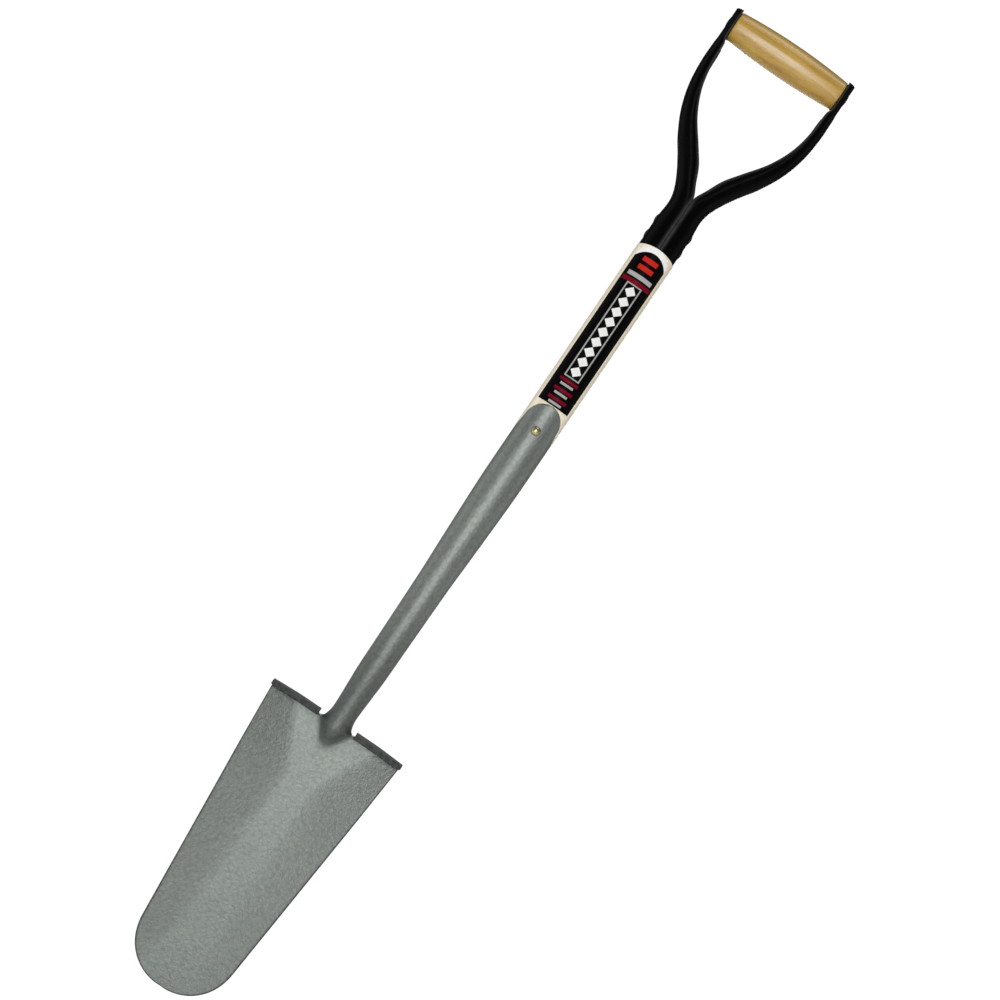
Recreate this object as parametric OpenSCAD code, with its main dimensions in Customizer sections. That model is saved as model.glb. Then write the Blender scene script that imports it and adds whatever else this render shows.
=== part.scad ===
// Garden drain spade: a narrow dished blade forged in one with a long tubular socket,
// two welded foot treads, a straight ash shaft and a pressed steel D handle with a wooden grip.
//
// Frame: +Z runs up the shaft, the dished face looks towards -Y, X is left and right.
// The origin is on the shaft's axis, level with the tip of the blade. Everything is in mm.

/* [Blade] */
// Length of the blade from its tip to the edge under the treads
blade_len = 279; // [260:0.2:300]
// Width of the blade at its top edge
blade_top_w = 137.2; // [126:0.2:142]
// Width that the straight sides would reach at the level of the tip
blade_tip_w = 89.6; // [80:0.2:100]
// Height of the rounded tip, where the straight sides begin
tip_h = 46; // [40:1:60]
// Thickness of the blade
blade_t = 2.6; // [2:0.1:4]
// How far the tip stands forward of the top edge
blade_lift = 15.6; // [6:0.2:18]
// Slope of the two raised sides at the top of the blade, as rise over run
wing_slope = 0.34; // [0.15:0.01:0.4]

/* [Treads] */
// Thickness of a tread
tread_t = 4.6; // [2.2:0.1:6]
// How far a tread stands forward of the shaft's axis
tread_front = 12; // [10:0.5:16]
// Distance from the shaft's axis to the inner end of a tread
tread_inner = 19.5; // [19.5:0.5:26]
// How far a tread's outer end stands past the blade
tread_overhang = 1; // [0:0.5:3]

/* [Socket] */
// Height of the top of the strap that runs up the front and back of the shaft
strap_top = 624.2; // [600:0.2:640]
// Outer diameter of the socket at its mouth
socket_d = 37.4; // [36:0.2:38]
// Thickness of the socket's wall at its mouth
socket_wall = 2.5; // [2:0.1:3]
// Outer diameter of the neck, just above the treads
neck_d = 24.2; // [22:0.2:26]

/* [Shaft] */
// Diameter of the ash shaft
shaft_d = 38; // [38:0.2:40]
// Height of the lowest points of the handle's collar, at its left and right
collar_z = 790.4; // [760:0.2:840]

/* [Handle] */
// Outer diameter of the handle's collar
collar_d = 36.8; // [36:0.2:38]
// Thickness of the pressed steel
yoke_t = 2.2; // [1.8:0.1:2.4]
// Width over the two arms
yoke_w = 128.2; // [118:0.2:140]
// Height of the grip's axis above the collar's lower rim
grip_rise = 210.3; // [190:0.2:230]
// Diameter of the grip at its middle
grip_d = 33.5; // [30:0.5:36]
// Diameter of the grip at its ends
grip_end_d = 28; // [26:0.5:30]

/* [Hidden] */
$fn = 96;
eps = 0.5;
steel_paint = [0.52, 0.56, 0.54];
ash_wood = [0.90, 0.80, 0.62];
black_paint = [0.05, 0.05, 0.05];
grip_wood = [0.80, 0.62, 0.33];

// --- blade outline and surface ---
top_z = blade_len + tread_t;
neck_r = neck_d / 2;
tip_power = 2.25;
tip_steps = 9;
body_step = 12;
frog_step = 3.25;
blade_top_y = 3.5;
band_half = 11;
v_start = 0.79 * blade_len;
v_spread = 29;
tip_spread = 14;
tip_spread_z = 130;
top_soft = 6;
tip_soft = 20;

// --- frog: the tapering swell where the neck runs out on the blade ---
frog_r = 18;
frog_len = 21;
nose_pinch = 2.3;
nose_power = 1.8;
frog_front = neck_r + blade_top_y;
frog_back = neck_r - blade_top_y - blade_t;
neck_half_angle = 84;
neck_steps = 14;
wing_steps = 9;
fillet_h = 16;
neck_top = 322;
root_z = 316;
root_swell = 1;
root_lap = 0.15;

// --- socket ---
socket_r = socket_d / 2;
bore_r = socket_r - socket_wall;
bore_bottom = 326;
mouth_z = strap_top - 38;
strap_r = 17;
socket_rivet_z = strap_top - 26;
socket_rivet_r = 2.5;
socket_head_r = 4.2;
socket_head_h = 2.2;

// Outer radius of the socket up its length, as [height, radius]
socket_outer = [
    [root_z, neck_r + root_swell], [331, neck_r + 1.8], [376, neck_r + 2.4], [436, neck_r + 3.3],
    [471, neck_r + 4.5], [536, socket_r - 0.2], [mouth_z, socket_r], [strap_top, socket_r]
];
// Radius of the bore, which the shaft's lower end fills
socket_bore = [
    [bore_bottom, neck_r - 2.1], [376, neck_r - 0.5], [471, neck_r + 1.9],
    [536, bore_r - 0.3], [mouth_z, bore_r], [strap_top, bore_r]
];

// --- shaft and label ---
shaft_r = shaft_d / 2;
rim_arch = 2.6;
core_top = strap_top + 42;
tenon_r = collar_d / 2 - yoke_t - 0.2;
tenon_end_r = tenon_r - 1.3;
tenon_neck_z = collar_z + 32;
tenon_top = collar_z + 42;
label_t = 0.2;
label_bottom = strap_top + 0.8;
label_top = collar_z + rim_arch - 0.3;
label_half_w = 15.6;
label_arch_r = 17.5;

// --- handle ---
collar_r = collar_d / 2;
arm_x = yoke_w / 2;
seam = 0.2;
rim_arch_r = (collar_r * collar_r + rim_arch * rim_arch) / (2 * rim_arch);
grip_z = collar_z + grip_rise;
arm_seat = 6.9;
grip_half = arm_x - 0.4 - arm_seat;
arm_end_r = 16;
arm_end_rise = 15.2;
arc_steps = 14;
yoke_rivet_r = 3;
yoke_rivet_zs = [collar_z + 12, collar_z + 28];
yoke_head_r = 4.5;
yoke_head_h = 1;
grip_rivet_r = 3;
grip_head_r = 5;
grip_head_h = 0.8;
fit_gap = 0.1;

// The arm's shape at a few heights: share of the grip's rise, share of the spread from the
// collar out to the arm's full width, depth of the channel, half of its width front to back,
// and how far the sheet is curled round either way, in degrees
arm_knots = [
    [0.000, 0.000, collar_r - seam / 2, collar_r, 90],
    [0.145, 0.000, collar_r - seam / 2, collar_r, 90],
    [0.222, -0.024, collar_r - 1.1, collar_r - 0.8, 98],
    [0.275, 0.022, 19.5, 16.8, 112],
    [0.337, 0.149, 19.6, 15.8, 124],
    [0.410, 0.350, 21.7, 15, 128],
    [0.477, 0.558, 21.3, 14.4, 128],
    [0.578, 0.794, 16.6, 14, 122],
    [0.684, 0.941, 12.8, 14, 112],
    [0.795, 1.000, 10.7, 14, 100],
    [0.896, 1.000, 9.4, 14, 92],
    [0.925, 0.991, arm_seat, 14, 90],
    [1.090, 0.991, arm_seat, 14, 90]
];

// ---------- shared functions ----------

// Two triangles for a quad whose corners run clockwise seen from outside
function quad(a, b, c, d) = [[a, b, c], [a, c, d]];

function flatten(lists) = [for (list = lists) each list];

// Half of the blade's width at height z: straight tapering sides closed by a rounded tip
function side_w(z) = (blade_tip_w + (blade_top_w - blade_tip_w) * z / blade_len) / 2;
function tip_share(z) = z >= tip_h ? 1 : pow(1 - pow(1 - z / tip_h, tip_power), 1 / tip_power);

// Half of the flat middle of the blade: a V below the frog, narrowing to a band that widens
// again towards the tip
function flat_w(z) =
    let (v = max(0, (z - v_start) / (blade_len - v_start)))
    let (t = max(0, 1 - z / tip_spread_z))
    band_half + v_spread * v + tip_spread * t * t;

// How far a side of the blade stands forward at distance x from the middle; the sides are
// flatter and begin more softly towards the tip
function wing(x, z) =
    let (s = max(0, abs(x) - flat_w(z)))
    let (up = z / blade_len)
    let (soft = tip_soft + (top_soft - tip_soft) * up)
    wing_slope * (1 + up) / 2 * s * s / (s + soft);

// Swell of the frog over the blade's face, from 1 at its root to 0 at its edge; it narrows
// towards its nose
function swell(x, z) =
    let (down = (blade_len - z) / frog_len)
    max(0, 1 - pow(x / frog_r, 2) * (1 + nose_pinch * down) - pow(max(0, down), nose_power));

function blade_y(x, z) = blade_top_y - blade_lift * (1 - z / blade_len) - wing(x, z);
function front_y(x, z) = blade_y(x, z) - frog_front * swell(x, z);
function back_y(x, z) = blade_y(x, z) + blade_t + frog_back * swell(x, z);

// ---------- blade and neck as one closed surface ----------

// Heights of the rows of points, closer together at the tip and over the frog
tip_start = 10;
tip_rows = [
    for (i = [0:tip_steps - 1])
        let (angle = tip_start + (90 - tip_start) * i / tip_steps)
        i == 0 ? 0 : tip_h * (1 - pow(cos(angle), 2 / tip_power))
];
frog_z = blade_len - 1.1 * frog_len;
body_count = ceil((frog_z - tip_h) / body_step);
body_rows = [for (i = [0:body_count - 1]) tip_h + (frog_z - tip_h) * i / body_count];
frog_count = ceil((blade_len - frog_z) / frog_step);
frog_rows = [for (i = [0:frog_count]) frog_z + (blade_len - frog_z) * i / frog_count];
rows = concat(tip_rows, body_rows, frog_rows);
last_row = len(rows) - 1;

// The lowest row is a short flat edge, as wide as the round tip is at its starting angle
function row_w(i) =
    side_w(rows[i]) * (i == 0 ? pow(sin(tip_start), 2 / tip_power) : tip_share(rows[i]));

// Places across the blade, as shares of its half width; the middle ones lie on the neck
frog_share = 2 * frog_r * sin(neck_half_angle) / blade_top_w;
neck_angles = [
    for (m = [0:neck_steps]) neck_half_angle * (2 * m / neck_steps - 1)
];
middle = [for (a = neck_angles) frog_share * sin(a) / sin(neck_half_angle)];
outer = [for (k = [1:wing_steps]) frog_share + (1 - frog_share) * k / wing_steps];
columns = concat([for (k = [wing_steps - 1:-1:0]) -outer[k]], middle, outer);
last_col = len(columns) - 1;
neck_first = wing_steps;
neck_last = wing_steps + neck_steps;

// Rings of the neck above the blade's top edge
ring_rises = [1, 2.2, 3.8, 6, 9, 12, fillet_h, 26, neck_top - blade_len];
ring_size = 2 * (neck_steps + 1);

// The neck's sides come in along a quarter of an ellipse
function fillet(rise) = rise >= fillet_h ? 0 : 1 - sqrt(1 - pow(1 - rise / fillet_h, 2));

function neck_radius(rise) =
    neck_r + (root_swell - root_lap)
    * max(0, (rise - fillet_h) / (root_z - blade_len - fillet_h));

// A point of a neck ring: each point of the blade's own top edge moves in towards the axis
// until it lies on the neck's circle, where the fillet ends
function ring_point(m, rise, back) =
    let (x = middle[m] * blade_top_w / 2)
    let (y = back ? back_y(x, blade_len) : front_y(x, blade_len))
    let (f = fillet(rise))
    let (s = f + (1 - f) * neck_radius(rise) / norm([x, y]))
    [x * s, y * s, blade_len + rise];

blade_points = concat(
    [for (i = [0:last_row]) for (u = columns)
        let (x = u * row_w(i)) [x, front_y(x, rows[i]), rows[i]]],
    [for (i = [0:last_row]) for (u = columns)
        let (x = u * row_w(i)) [x, back_y(x, rows[i]), rows[i]]],
    [for (rise = ring_rises) each concat(
        [for (m = [0:neck_steps]) ring_point(m, rise, false)],
        [for (m = [neck_steps:-1:0]) ring_point(m, rise, true)])]
);

function fr(i, j) = i * (last_col + 1) + j;
function bk(i, j) = (last_row + 1) * (last_col + 1) + fr(i, j);

// Point m of ring k; ring 0 is the part of the blade's top edge that the neck stands on
function rg(k, m) =
    k > 0 ? 2 * (last_row + 1) * (last_col + 1) + (k - 1) * ring_size + m % ring_size
    : m % ring_size <= neck_steps ? fr(last_row, neck_first + m % ring_size)
    : bk(last_row, neck_last + neck_steps + 1 - m % ring_size);

blade_faces = concat(
    flatten([for (i = [0:last_row - 1]) for (j = [0:last_col - 1])
        quad(fr(i, j), fr(i + 1, j), fr(i + 1, j + 1), fr(i, j + 1))]),
    flatten([for (i = [0:last_row - 1]) for (j = [0:last_col - 1])
        quad(bk(i, j), bk(i, j + 1), bk(i + 1, j + 1), bk(i + 1, j))]),
    flatten([for (i = [0:last_row - 1])
        quad(bk(i, 0), bk(i + 1, 0), fr(i + 1, 0), fr(i, 0))]),
    flatten([for (i = [0:last_row - 1])
        quad(fr(i, last_col), fr(i + 1, last_col), bk(i + 1, last_col), bk(i, last_col))]),
    flatten([for (j = [0:last_col - 1])
        quad(fr(0, j), fr(0, j + 1), bk(0, j + 1), bk(0, j))]),
    flatten([for (j = [0:last_col - 1]) if (j < neck_first || j >= neck_last)
        quad(fr(last_row, j + 1), fr(last_row, j), bk(last_row, j), bk(last_row, j + 1))]),
    flatten([for (k = [0:len(ring_rises) - 1]) for (m = [0:ring_size - 1])
        quad(rg(k, m), rg(k + 1, m), rg(k + 1, m + 1), rg(k, m + 1))]),
    [[for (m = [ring_size - 1:-1:0]) rg(len(ring_rises), m)]]
);

module blade_and_neck() {
    polyhedron(points = blade_points, faces = blade_faces, convexity = 8);
}

// ---------- socket ----------

// Solid of revolution under a list of [height, radius] points
module turned(profile) {
    rotate_extrude()
        polygon(concat(
            [[0, profile[0][0]]],
            [for (p = profile) [p[1], p[0]]],
            [[0, profile[len(profile) - 1][0]]]
        ));
}

// Everything that the socket may fill, seen from the front: below the mouth all of it, and
// above the mouth the two straps with their round ends
module strap_outline() {
    wide = shaft_r + eps;
    strap_mid = strap_top - strap_r;
    polygon([
        [-wide, root_z - eps], [wide, root_z - eps], [wide, mouth_z],
        [strap_r, strap_mid], [-strap_r, strap_mid], [-wide, mouth_z]
    ]);
    translate([0, strap_mid])
        circle(r = strap_r);
}

// A flat outline in X and Z given a depth along Y, centred on the shaft
module through_y(depth) {
    rotate([90, 0, 0])
        linear_extrude(height = depth, center = true)
            children();
}

module socket() {
    difference() {
        intersection() {
            turned(socket_outer);
            through_y(3 * shaft_d) strap_outline();
        }
        turned(socket_bore);
        translate([0, 0, strap_top - eps])
            cylinder(r = bore_r, h = 2 * eps);
        translate([0, 0, socket_rivet_z])
            rotate([90, 0, 0])
                cylinder(r = socket_rivet_r, h = 2 * shaft_d, center = true);
    }
}

module head() {
    color(steel_paint) {
        blade_and_neck();
        socket();
    }
}

// ---------- treads ----------

// One tread, a flat strip on the blade's top edge with a rounded front outer corner
module tread() {
    outer_end = blade_top_w / 2 + tread_overhang;
    corner_r = 3;
    back_inner = back_y(tread_inner, blade_len);
    back_outer = back_y(blade_top_w / 2, blade_len);
    translate([0, 0, blade_len])
        linear_extrude(height = tread_t) {
            polygon([
                [tread_inner, back_inner], [tread_inner, -tread_front],
                [outer_end - corner_r, -tread_front], [outer_end, corner_r - tread_front],
                [outer_end, back_outer]
            ]);
            translate([outer_end - corner_r, corner_r - tread_front])
                circle(r = corner_r);
        }
}

module right_tread() {
    color(steel_paint) tread();
}

module left_tread() {
    color(steel_paint) mirror([1, 0, 0]) tread();
}

// ---------- rivets ----------

// A rivet along Z with the same low domed head on both ends, its heads' undersides at half
module rivet(shank_r, head_r, head_h, half) {
    dome_r = (head_r * head_r + head_h * head_h) / (2 * head_h);
    cylinder(r = shank_r, h = 2 * half, center = true);
    for (side = [0, 1])
        mirror([0, 0, side])
            translate([0, 0, half])
                intersection() {
                    translate([0, 0, head_h - dome_r])
                        sphere(r = dome_r);
                    cylinder(r = head_r, h = head_h + eps);
                }
}

module socket_rivet() {
    color("goldenrod")
        translate([0, 0, socket_rivet_z])
            rotate([90, 0, 0])
                rivet(socket_rivet_r, socket_head_r, socket_head_h, socket_r);
}

module yoke_rivet(z) {
    color(black_paint)
        translate([0, 0, z])
            rotate([0, 90, 0])
                rivet(yoke_rivet_r, yoke_head_r, yoke_head_h, collar_r);
}

module lower_yoke_rivet() {
    yoke_rivet(yoke_rivet_zs[0]);
}

module upper_yoke_rivet() {
    yoke_rivet(yoke_rivet_zs[1]);
}

module grip_rivet() {
    color("silver")
        translate([0, 0, grip_z])
            rotate([0, 90, 0])
                rivet(grip_rivet_r, grip_head_r, grip_head_h, grip_half + arm_seat);
}

// ---------- shaft and label ----------

module shaft() {
    color(ash_wood)
        difference() {
            union() {
                turned(concat(socket_bore, [[core_top, bore_r]]));
                difference() {
                    intersection() {
                        cylinder_between(shaft_r, mouth_z, collar_z + rim_arch);
                        through_y(3 * shaft_d) rim_outline();
                    }
                    through_y(3 * shaft_d) strap_outline();
                }
                tenon();
            }
            translate([0, 0, socket_rivet_z])
                rotate([90, 0, 0])
                    cylinder(r = socket_rivet_r, h = 2 * shaft_d, center = true);
            for (z = yoke_rivet_zs)
                translate([0, 0, z])
                    rotate([0, 90, 0])
                        cylinder(r = yoke_rivet_r, h = 2 * shaft_d, center = true);
        }
}

// The shaft's end inside the collar, tapered where the pressings above it draw in
module tenon() {
    turned([
        [collar_z - 2 * rim_arch, tenon_r], [tenon_neck_z, tenon_r], [tenon_top, tenon_end_r]
    ]);
}

module cylinder_between(r, z0, z1) {
    translate([0, 0, z0])
        cylinder(r = r, h = z1 - z0);
}

// The label's outline seen from the front, a long rectangle under an arch
module label_outline() {
    arch_z = label_top - label_arch_r;
    translate([-label_half_w, label_bottom])
        square([2 * label_half_w, arch_z - label_bottom]);
    intersection() {
        translate([0, arch_z])
            circle(r = label_arch_r);
        translate([-label_half_w, label_bottom])
            square([2 * label_half_w, label_top - label_bottom]);
    }
}

// A thin sticker wrapped round the front of the shaft
module label() {
    color(black_paint)
        intersection() {
            difference() {
                cylinder_between(shaft_r + label_t, label_bottom, label_top);
                cylinder_between(shaft_r, label_bottom - eps, label_top + eps);
            }
            translate([0, -shaft_r, 0])
                through_y(2 * shaft_r) label_outline();
        }
}

// ---------- handle ----------

// Smooth curve through column c of the arm's knots, at share s of the grip's rise
function knot_slope(c, i) =
    i == 0 || i == len(arm_knots) - 1 ? 0
    : (arm_knots[i + 1][c] - arm_knots[i - 1][c]) / (arm_knots[i + 1][0] - arm_knots[i - 1][0]);
function span(s, i = 0) = i == len(arm_knots) - 2 || s <= arm_knots[i + 1][0] ? i : span(s, i + 1);
function arm_value(c, s) =
    let (i = span(s))
    let (h = arm_knots[i + 1][0] - arm_knots[i][0])
    let (t = (s - arm_knots[i][0]) / h)
    (1 - t) * (1 - t) * ((1 + 2 * t) * arm_knots[i][c] + t * h * knot_slope(c, i))
    + t * t * ((3 - 2 * t) * arm_knots[i + 1][c] - (1 - t) * h * knot_slope(c, i + 1));

function arm_outer(rise) = collar_r + (arm_x - collar_r) * arm_value(1, rise / grip_rise);

// Half width front to back; only above the grip's axis is it cut down to the arm's round end
function arm_half_y(rise) =
    let (over = rise - grip_rise)
    let (full = arm_value(3, rise / grip_rise))
    over <= 0 ? full : min(full, sqrt(arm_end_r * arm_end_r - over * over));

// Wall measured level, thicker where the arm leans
function level_wall(rise) =
    let (lean = (arm_outer(rise + 1) - arm_outer(rise - 1)) / 2)
    yoke_t * sqrt(1 + lean * lean);

// One level section of the right half: a ring that opens towards the shaft's axis, along
// its outside from front to back and then along its inside to the front again
function channel(rise) =
    let (xo = arm_outer(rise))
    let (depth = min(arm_value(2, rise / grip_rise), xo - seam / 2))
    let (half = arm_half_y(rise))
    let (wall = level_wall(rise))
    let (curl = arm_value(4, rise / grip_rise))
    let (outer_r = depth / (1 - cos(curl)))
    let (inner_r = (depth - wall) / (1 - cos(curl)))
    concat(
        [for (k = [0:arc_steps]) let (a = curl * (2 * k / arc_steps - 1))
            [xo - outer_r * (1 - cos(a)), half * sin(a), collar_z + rise]],
        [for (k = [arc_steps:-1:0]) let (a = curl * (2 * k / arc_steps - 1))
            [xo - wall - inner_r * (1 - cos(a)), (half - yoke_t) * sin(a), collar_z + rise]]
    );

// Heights of the arm's sections above the collar's lower rim, closer where it curves
arm_rises = concat(
    [0, 12, 24, 32],
    [for (z = [38:4:62]) z],
    [for (z = [68:6:grip_rise - 24]) z],
    [for (share = [0.896, 0.906, 0.916, 0.925, 1]) share * grip_rise],
    [for (over = [5, 8, 10.5, 12.5, 14, arm_end_rise]) grip_rise + over]
);
channel_size = 2 * (arc_steps + 1);
last_channel = len(arm_rises) - 1;

function ch(k, m) = k * channel_size + m % channel_size;
function inside(m) = channel_size - 1 - m;

module right_half_shell() {
    polyhedron(
        points = [for (rise = arm_rises) each channel(rise)],
        faces = concat(
            flatten([for (k = [0:last_channel - 1]) for (m = [0:channel_size - 1])
                quad(ch(k, m), ch(k + 1, m), ch(k + 1, m + 1), ch(k, m + 1))]),
            flatten([for (m = [0:arc_steps - 1])
                quad(ch(0, m), ch(0, m + 1), ch(0, inside(m + 1)), ch(0, inside(m)))]),
            flatten([for (m = [0:arc_steps - 1])
                quad(ch(last_channel, m + 1), ch(last_channel, m),
                    ch(last_channel, inside(m)), ch(last_channel, inside(m + 1)))])
        ),
        convexity = 8
    );
}

// The outline under the collar's rim, seen from the front: the rim is hollowed out in an
// arch at the front and back
module rim_outline() {
    translate([0, collar_z + rim_arch - rim_arch_r])
        circle(r = rim_arch_r);
    translate([-shaft_d, mouth_z - eps])
        square([2 * shaft_d, collar_z - rim_arch - mouth_z]);
}

// The right pressing with its holes for the two collar rivets and for the grip's rivet
module yoke_half() {
    difference() {
        right_half_shell();
        through_y(3 * shaft_d) rim_outline();
        for (z = yoke_rivet_zs)
            translate([collar_r / 2, 0, z])
                rotate([0, 90, 0])
                    cylinder(r = yoke_rivet_r, h = collar_r);
        translate([grip_half - eps, 0, grip_z])
            rotate([0, 90, 0])
                cylinder(r = grip_rivet_r, h = arm_seat + 2 * eps);
    }
}

module right_yoke_half() {
    color(black_paint) yoke_half();
}

module left_yoke_half() {
    color(black_paint) mirror([1, 0, 0]) yoke_half();
}

// A barrel that bulges in the middle, with a hole along its axis for the rivet
module grip() {
    bands = 12;
    bulge = (grip_d - grip_end_d) / 2;
    color(grip_wood)
        translate([0, 0, grip_z])
            rotate([0, 90, 0])
                difference() {
                    turned([
                        for (k = [-bands:bands])
                            let (s = k / bands)
                            [s * grip_half, grip_d / 2 - bulge * s * s]
                    ]);
                    cylinder(r = grip_rivet_r + fit_gap, h = 3 * grip_half, center = true);
                }
}

head();
left_tread();
right_tread();
socket_rivet();
shaft();
label();
left_yoke_half();
right_yoke_half();
lower_yoke_rivet();
upper_yoke_rivet();
grip();
grip_rivet();
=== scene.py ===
"""Looks of a garden drain spade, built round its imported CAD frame.

Shapes are worked out in millimetres in the frame's axes: +Z up the shaft, the dished face of the
blade towards -Y, X left and right. They become metres when a mesh is made.
"""

import math

import bmesh
import bpy
import numpy as np
from mathutils import Matrix, Vector


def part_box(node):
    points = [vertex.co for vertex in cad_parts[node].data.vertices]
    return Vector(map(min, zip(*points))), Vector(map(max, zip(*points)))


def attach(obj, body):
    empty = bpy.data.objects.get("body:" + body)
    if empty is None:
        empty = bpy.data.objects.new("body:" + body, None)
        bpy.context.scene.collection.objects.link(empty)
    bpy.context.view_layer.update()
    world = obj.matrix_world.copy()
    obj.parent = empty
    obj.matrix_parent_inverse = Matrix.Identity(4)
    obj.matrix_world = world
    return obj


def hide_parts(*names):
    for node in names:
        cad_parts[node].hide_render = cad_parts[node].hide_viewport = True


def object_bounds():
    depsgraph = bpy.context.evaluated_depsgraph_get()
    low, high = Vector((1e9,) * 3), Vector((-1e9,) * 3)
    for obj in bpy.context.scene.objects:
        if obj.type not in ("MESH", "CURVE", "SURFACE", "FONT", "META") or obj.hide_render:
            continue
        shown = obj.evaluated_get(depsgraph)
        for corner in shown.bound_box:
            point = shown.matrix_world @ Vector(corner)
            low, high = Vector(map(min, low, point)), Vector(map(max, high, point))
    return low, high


MM = 0.001
WELD_DIST = 0.001 * MM
SHARP_ANGLE = math.radians(38)

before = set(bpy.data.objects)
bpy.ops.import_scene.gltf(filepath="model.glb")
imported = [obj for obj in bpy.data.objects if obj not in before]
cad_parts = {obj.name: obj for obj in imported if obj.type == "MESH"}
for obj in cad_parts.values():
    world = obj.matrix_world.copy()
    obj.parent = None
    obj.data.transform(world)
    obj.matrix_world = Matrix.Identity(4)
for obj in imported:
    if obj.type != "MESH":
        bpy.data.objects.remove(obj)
cad_low, cad_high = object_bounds()


# ---------------------------------------------------------------- dimensions

def box_mm(node):
    """Lowest and highest corner of a CAD node in millimetres."""
    low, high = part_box(node)
    return np.array(low) / MM, np.array(high) / MM


HEAD_LOW, HEAD_HIGH = box_mm("head")
TREAD_LOW, TREAD_HIGH = box_mm("right_tread")
YOKE_LOW, YOKE_HIGH = box_mm("right_yoke_half")
GRIP_LOW, GRIP_HIGH = box_mm("grip")
LABEL_LOW, LABEL_HIGH = box_mm("label")
SHAFT_HIGH = box_mm("shaft")[1]
SOCKET_RIVET_LOW, SOCKET_RIVET_HIGH = box_mm("socket_rivet")
GRIP_RIVET_LOW, GRIP_RIVET_HIGH = box_mm("grip_rivet")

# Blade
BLADE_LEN = TREAD_LOW[2]
BLADE_TOP_W = HEAD_HIGH[0] - HEAD_LOW[0]
BLADE_TIP_W = 89.6
BLADE_T = 2.6
TIP_H = 46
TIP_POWER = 2.25
TIP_START = math.radians(6)
BLADE_TOP_Y = 3.5
BLADE_LIFT = 15.6
WING_SLOPE = 0.34
TOP_SOFT = 8
TIP_SOFT = 20
BAND_HALF = 11
V_START = 0.79 * BLADE_LEN
V_SPREAD = 29
V_ROUND = 0.12
TIP_SPREAD = 14
TIP_SPREAD_Z = 130

# Frog and neck
NECK_R = 12.1
FROG_R = 18
FROG_LEN = 21
FROG_FRONT = NECK_R + BLADE_TOP_Y
FROG_BACK = NECK_R - BLADE_TOP_Y - BLADE_T
FROG_SOFT = 0.06
NOSE_PINCH = 2.3
NOSE_POWER = 1.8
NECK_HALF_ANGLE = math.radians(84)
NECK_STEPS = 44
FILLET_H = 16

# Socket and its two straps
ROOT_Z = 316
ROOT_SWELL = 0.85
SOCKET_R = 18.7
STRAP_TOP = HEAD_HIGH[2]
STRAP_R = 17
STRAP_MID = STRAP_TOP - STRAP_R
NOTCH_Z = STRAP_TOP - 31
NOTCH_HALF = 1.6
STRAP_EDGE = 0.5
STRAP_DEPTH = 2.2
SOCKET_FLOOR = NOTCH_Z - 8
SOCKET_Z = [ROOT_Z, 331, 376, 436, 471, 536, STRAP_TOP - 38, STRAP_TOP]
SOCKET_RADII = [
    NECK_R + 1, NECK_R + 1.8, NECK_R + 2.4, NECK_R + 3.3, NECK_R + 4.5,
    SOCKET_R - 0.2, SOCKET_R, SOCKET_R,
]

# Treads
TREAD_INNER = TREAD_LOW[0]
TREAD_OUTER = TREAD_HIGH[0]
TREAD_FRONT = -TREAD_LOW[1]

# Shaft and label
SHAFT_R = SHAFT_HIGH[0]
COLLAR_Z = YOKE_LOW[2]
WOOD_GAP = 0.25
WOOD_EDGE = 0.4
WOOD_DEPTH = 2.9
WOOD_END_Z = NOTCH_Z - 7.5
TENON_R = 15.8
TENON_END_R = 14.5
TENON_TOP = SHAFT_HIGH[2]
TENON_NECK_Z = TENON_TOP - 10
LABEL_HALF_W = LABEL_HIGH[0]
LABEL_ARCH_R = 17.5
LABEL_T = 0.18

# Handle
COLLAR_R = 18.4
YOKE_T = 2.2
RIM_ARCH = 2.6
RIM_ARCH_R = (COLLAR_R ** 2 + RIM_ARCH ** 2) / (2 * RIM_ARCH)
ARM_X = YOKE_HIGH[0]
ARM_SEAT = 6.9
ARM_TOP_RISE = YOKE_HIGH[2] - COLLAR_Z
ARM_END_R = 16
ARM_ARC_STEPS = 36
ARM_LIP_STEPS = 8
GRIP_Z = (GRIP_LOW[2] + GRIP_HIGH[2]) / 2
GRIP_RISE = GRIP_Z - COLLAR_Z
GRIP_HALF = GRIP_HIGH[0]
GRIP_R = (GRIP_HIGH[2] - GRIP_LOW[2]) / 2
GRIP_END_R = 14
GRIP_BORE_R = 3.1

# The arm's shape at a few heights, as in the CAD: share of the grip's rise, share of the spread
# from the collar out to the arm's full width, depth of the channel, half width front to back,
# and how far the sheet is curled round either way, in degrees
ARM_KNOTS = np.array([
    [0.000, 0.000, COLLAR_R, COLLAR_R, 90],
    [0.145, 0.000, COLLAR_R, COLLAR_R, 90],
    [0.222, -0.024, COLLAR_R - 1.1, COLLAR_R - 0.8, 98],
    [0.275, 0.022, 19.5, 16.8, 112],
    [0.337, 0.149, 19.6, 15.8, 124],
    [0.410, 0.350, 21.7, 15.0, 128],
    [0.477, 0.558, 21.3, 14.4, 128],
    [0.578, 0.794, 16.6, 14.0, 122],
    [0.684, 0.941, 12.8, 14.0, 112],
    [0.795, 1.000, 10.7, 14.0, 100],
    [0.896, 1.000, 9.4, 14.0, 92],
    [0.925, 0.991, ARM_SEAT, 14.0, 90],
    [1.090, 0.991, ARM_SEAT, 14.0, 90],
])


# ---------------------------------------------------------------- mesh helpers

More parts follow.
